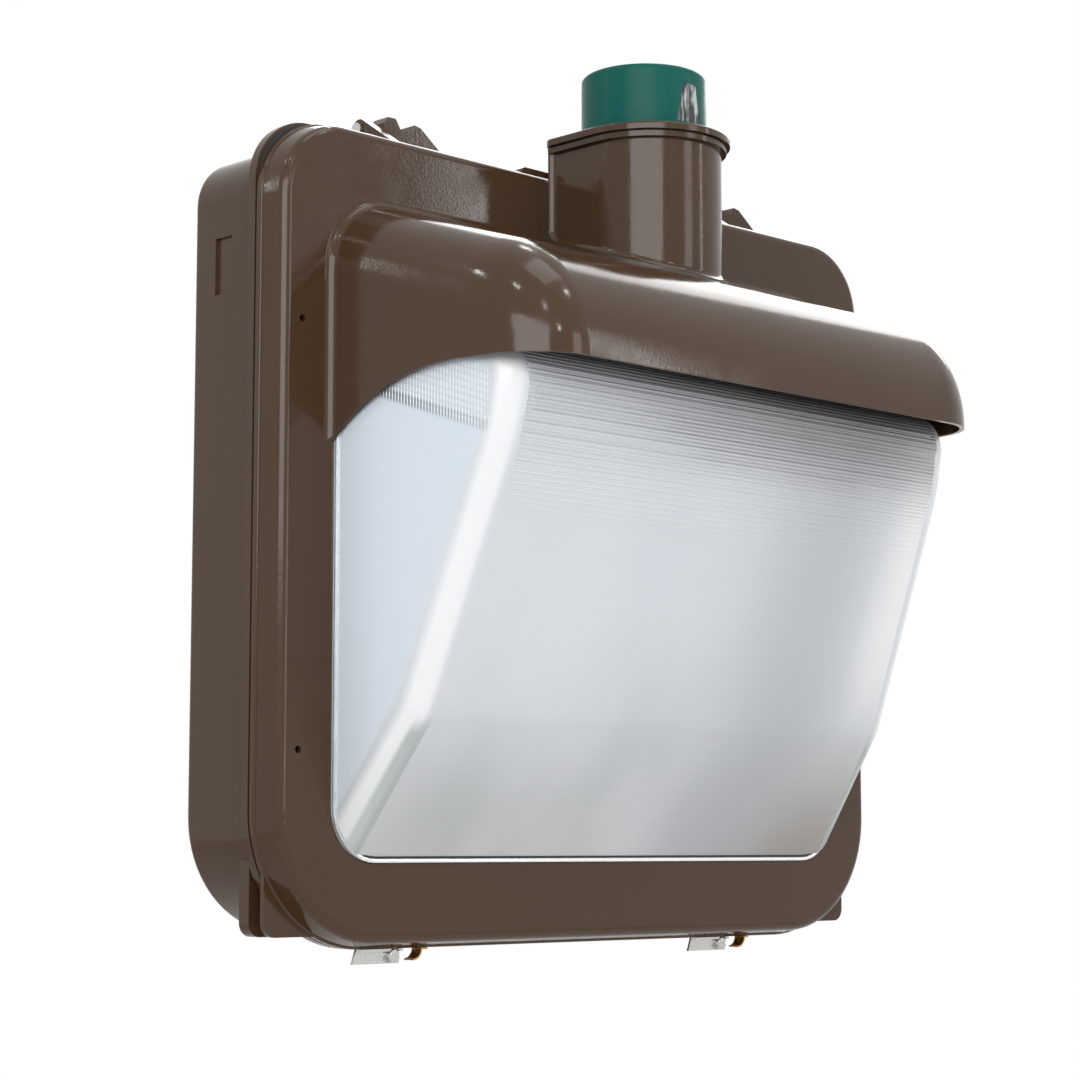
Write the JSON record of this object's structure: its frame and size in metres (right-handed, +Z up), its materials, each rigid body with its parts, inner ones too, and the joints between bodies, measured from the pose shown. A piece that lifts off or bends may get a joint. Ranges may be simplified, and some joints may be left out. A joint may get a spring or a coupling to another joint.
{
  "type": "wall pack light",
  "caption": "Cast wall light with a top-hinged door, prismatic glass refractor, sloping hood, twist-lock photocontrol on a tower, and lamp and ballast gear inside.",
  "frame": {"origin": "middle of the flat back face that rests on the wall", "axes": "+Y into the wall, the front faces -Y, +Z up, +X to the right seen from the front"},
  "size_m": [0.514, 0.236, 0.5359],
  "materials": {
    "bronze_paint": "dark bronze gloss powder coat on cast aluminium",
    "gasket_rubber": "matt",
    "sealant": "satin",
    "refractor_glass": "moulded prisms, lightly frosted",
    "steel_zinc": "zinc plated",
    "stainless": "satin",
    "spring_bronze": "satin",
    "photocontrol_green": "satin",
    "clear_plastic": "clear",
    "black_plastic": "matt",
    "contact_brass": "satin",
    "porcelain": "glazed",
    "lamp_glass": "clear",
    "arc_tube_ceramic": "translucent",
    "reflector_sheet": "semi-specular",
    "core_steel": "varnished laminations",
    "coil_copper": "varnished windings",
    "capacitor_can": "satin",
    "ground_green": "satin"
  },
  "bodies": {
    "housing": {"rear_housing": "bronze_paint", "housing_gasket": "gasket_rubber", "conduit_plug": "bronze_paint", "hinge_pins": "stainless", "ballast_core": "core_steel", "ballast_coils": "coil_copper", "ballast_rails": "steel_zinc", "ballast_bolts": "steel_zinc", "capacitor": "capacitor_can", "capacitor_strap": "steel_zinc", "ignitor": "black_plastic", "terminal_block": "black_plastic", "strap_screws": "steel_zinc", "ignitor_screws": "steel_zinc", "terminal_screws": "steel_zinc", "ground_screw": "ground_green", "reflector": "reflector_sheet", "reflector_screws": "steel_zinc", "lamp_socket": "porcelain", "socket_bracket": "steel_zinc", "bracket_screws": "steel_zinc", "lamp_bulb": "lamp_glass", "lamp_base": "contact_brass", "arc_tube": "arc_tube_ceramic", "lamp_frame": "stainless"},
    "door": {"door_frame": "bronze_paint", "glass_refractor": "refractor_glass", "glass_gasket": "gasket_rubber", "glass_clips": "steel_zinc", "clip_screws": "steel_zinc", "hood": "bronze_paint", "hood_screws": "steel_zinc", "photocontrol_tower": "bronze_paint", "tower_seal": "sealant", "tower_screws": "steel_zinc", "cap_plate": "bronze_paint", "cap_plate_seal": "gasket_rubber", "photocontrol_receptacle": "black_plastic", "latch_plates": "stainless", "latch_springs": "spring_bronze"},
    "photocontrol": {"photocontrol_cap": "photocontrol_green", "photocontrol_window": "clear_plastic", "photocontrol_base": "black_plastic", "light_sensor": "clear_plastic", "photocontrol_blades": "contact_brass"},
    "latch_screw_left": {"latch_screw_left": "stainless"},
    "latch_screw_right": {"latch_screw_right": "stainless"}
  },
  "joints": [
    {"name": "door_hinge", "type": "hinge", "parent": "housing", "child": "door", "pos_m": [0, -0.057, 0.242], "axis": [-1, 0, 0], "range_deg": [0, 90]},
    {"name": "photocontrol_twist", "type": "hinge", "parent": "door", "child": "photocontrol", "pos_m": [0, -0.126, 0.25], "axis": [0, 0, 1], "range_deg": [0, 25]},
    {"name": "left_latch_slide", "type": "slide", "parent": "door", "child": "latch_screw_left", "axis": [0, -1, 0], "range_m": [0, 0.01]},
    {"name": "right_latch_slide", "type": "slide", "parent": "door", "child": "latch_screw_right", "axis": [0, -1, 0], "range_m": [0, 0.01]}
  ]
}
